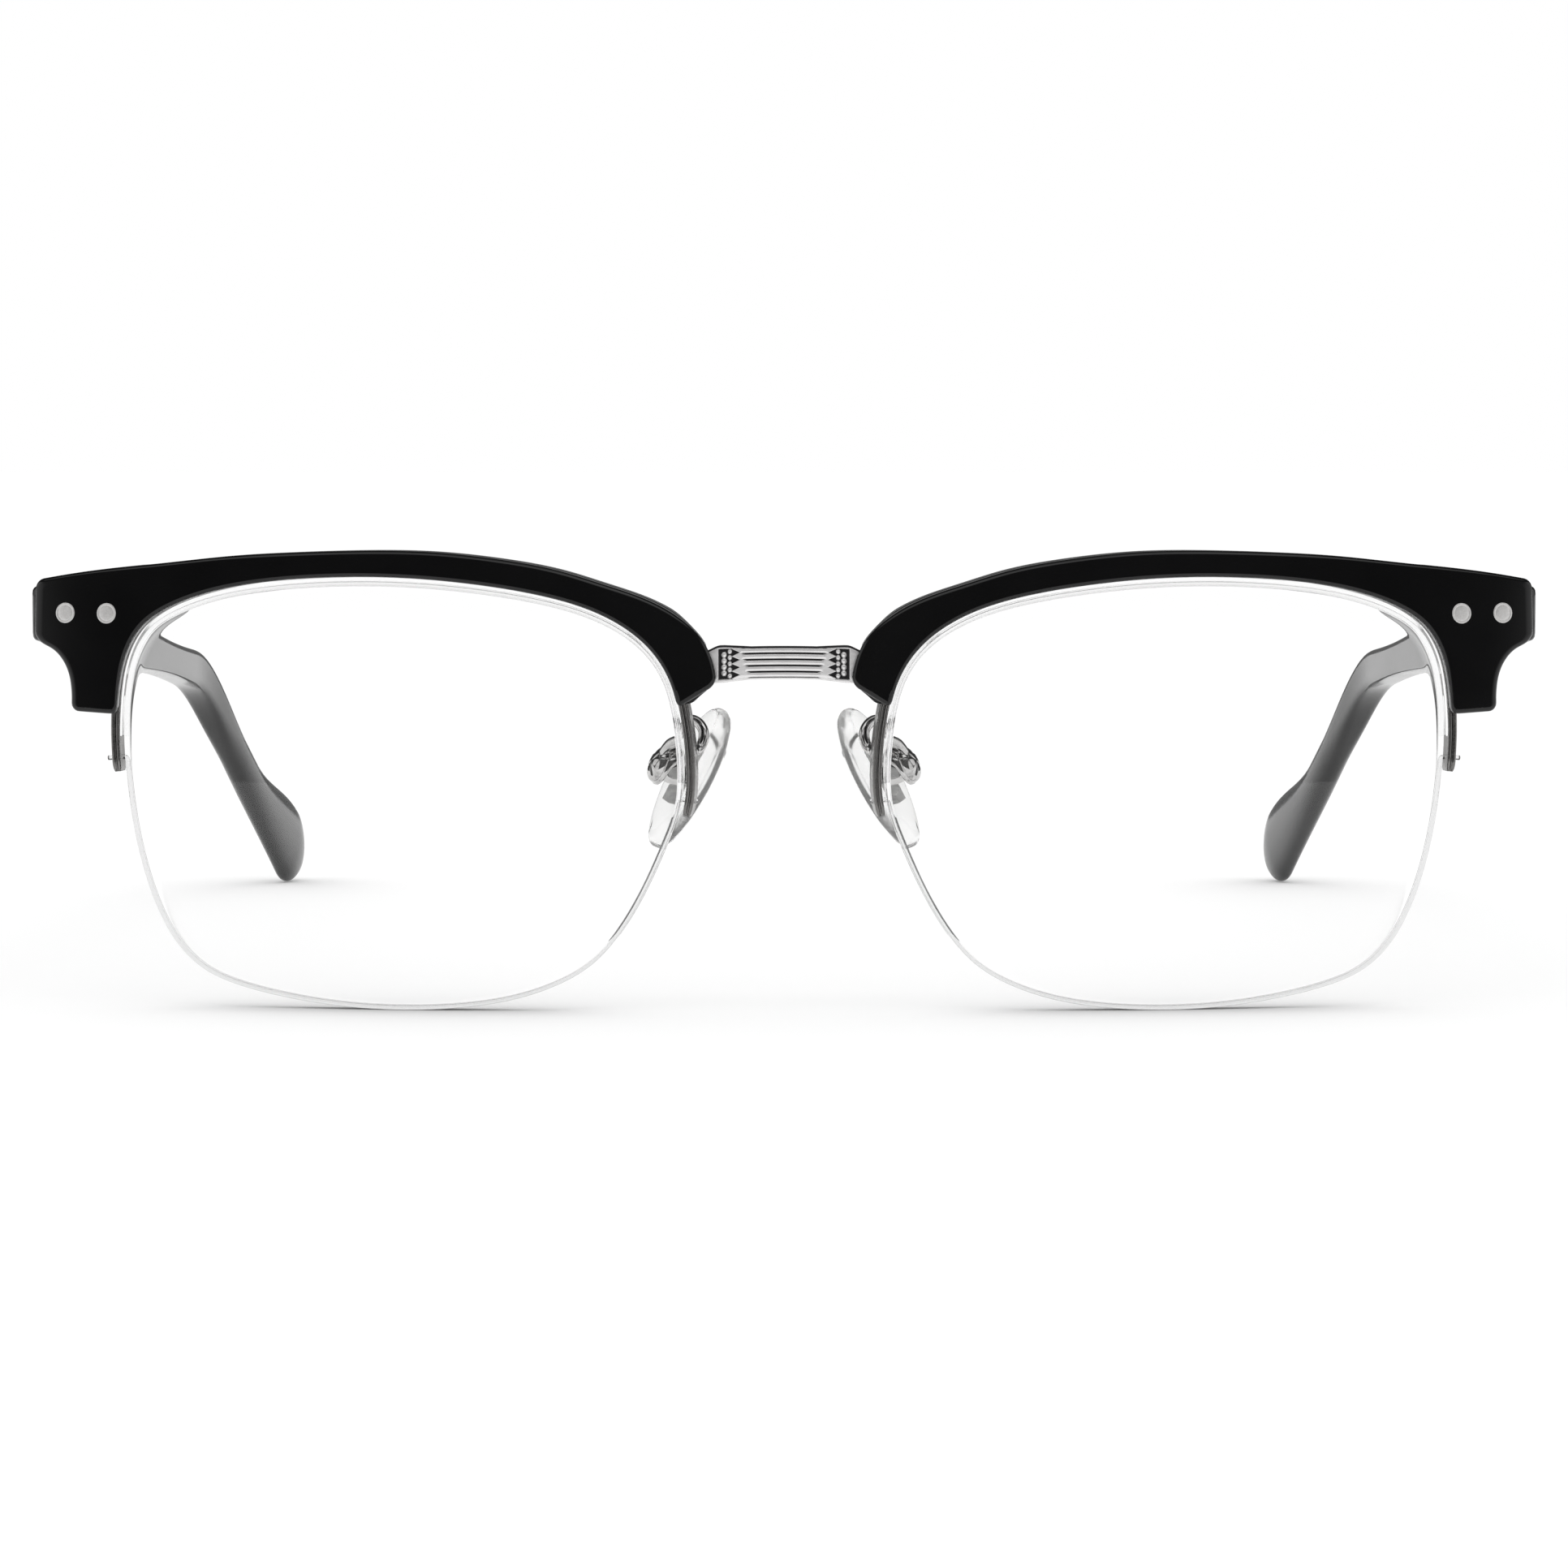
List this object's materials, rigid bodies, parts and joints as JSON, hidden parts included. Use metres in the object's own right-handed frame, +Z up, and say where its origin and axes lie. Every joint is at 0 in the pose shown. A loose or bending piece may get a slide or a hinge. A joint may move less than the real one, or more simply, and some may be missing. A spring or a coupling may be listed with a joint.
{
  "type": "half rim eyeglasses",
  "caption": "Half rim eyeglasses with black acetate brows on a metal upper rim, nylon-held clear lenses, ribbed metal bridge, silicone nose pads and folding temples.",
  "frame": {"origin": "centre of the bounding box in plan, at the base plane the lens bottoms and temple tips stand on", "axes": "+Z up; the front faces -Y and the temples run to +Y; +X is the wearer's left"},
  "size_m": [0.141, 0.147, 0.0423],
  "materials": {
    "black_acetate": "polished",
    "gunmetal": "satin",
    "polished_metal": "polished",
    "silver": "satin",
    "lens": "clear",
    "nylon": "clear",
    "silicone": "clear"
  },
  "bodies": {
    "front": {"bridge": "gunmetal", "brow_left": "black_acetate", "brow_right": "black_acetate", "brow_screw_nasal_left": "silver", "brow_screw_nasal_right": "silver", "brow_screw_temporal_left": "silver", "brow_screw_temporal_right": "silver", "hinge_front_leaf_left": "polished_metal", "hinge_front_leaf_right": "polished_metal", "hinge_screw_left": "silver", "hinge_screw_right": "silver", "lens_left": "lens", "lens_right": "lens", "nylon_cord_left": "nylon", "nylon_cord_right": "nylon", "pad_arm_left": "polished_metal", "pad_arm_right": "polished_metal", "pad_box_left": "polished_metal", "pad_box_right": "polished_metal", "pad_screw_left": "silver", "pad_screw_right": "silver", "rim_left": "gunmetal", "rim_liner_left": "nylon", "rim_liner_right": "nylon", "rim_lug_nasal_left": "gunmetal", "rim_lug_nasal_right": "gunmetal", "rim_lug_temporal_left": "gunmetal", "rim_lug_temporal_right": "gunmetal", "rim_right": "gunmetal", "rivet_inner_left": "silver", "rivet_inner_right": "silver", "rivet_outer_left": "silver", "rivet_outer_right": "silver"},
    "temple_left": {"hinge_temple_leaf_left": "polished_metal", "temple_core_wire_left": "silver", "temple_left": "black_acetate", "temple_pin_front_left": "silver", "temple_pin_rear_left": "silver"},
    "temple_right": {"hinge_temple_leaf_right": "polished_metal", "temple_core_wire_right": "silver", "temple_pin_front_right": "silver", "temple_pin_rear_right": "silver", "temple_right": "black_acetate"},
    "nose_pad_left": {"nose_pad_left": "silicone", "pad_insert_left": "silver"},
    "nose_pad_right": {"nose_pad_right": "silicone", "pad_insert_right": "silver"}
  },
  "joints": [
    {"name": "temple_left_fold", "type": "hinge", "parent": "front", "child": "temple_left", "pos_m": [0.06545, -0.05957, 0.0362], "axis": [0, 0, 1], "range_deg": [0, 88]},
    {"name": "temple_right_fold", "type": "hinge", "parent": "front", "child": "temple_right", "pos_m": [-0.06545, -0.05957, 0.0362], "axis": [0, 0, -1], "range_deg": [0, 82.5]},
    {"name": "nose_pad_left_rock", "type": "hinge", "parent": "front", "child": "nose_pad_left", "pos_m": [0.01045, -0.06367, 0.02172], "axis": [0.3047, 0.9397, 0.1553], "range_deg": [-6, 6]},
    {"name": "nose_pad_right_rock", "type": "hinge", "parent": "front", "child": "nose_pad_right", "pos_m": [-0.01045, -0.06367, 0.02172], "axis": [0.3047, -0.9397, -0.1553], "range_deg": [-6, 6]}
  ]
}
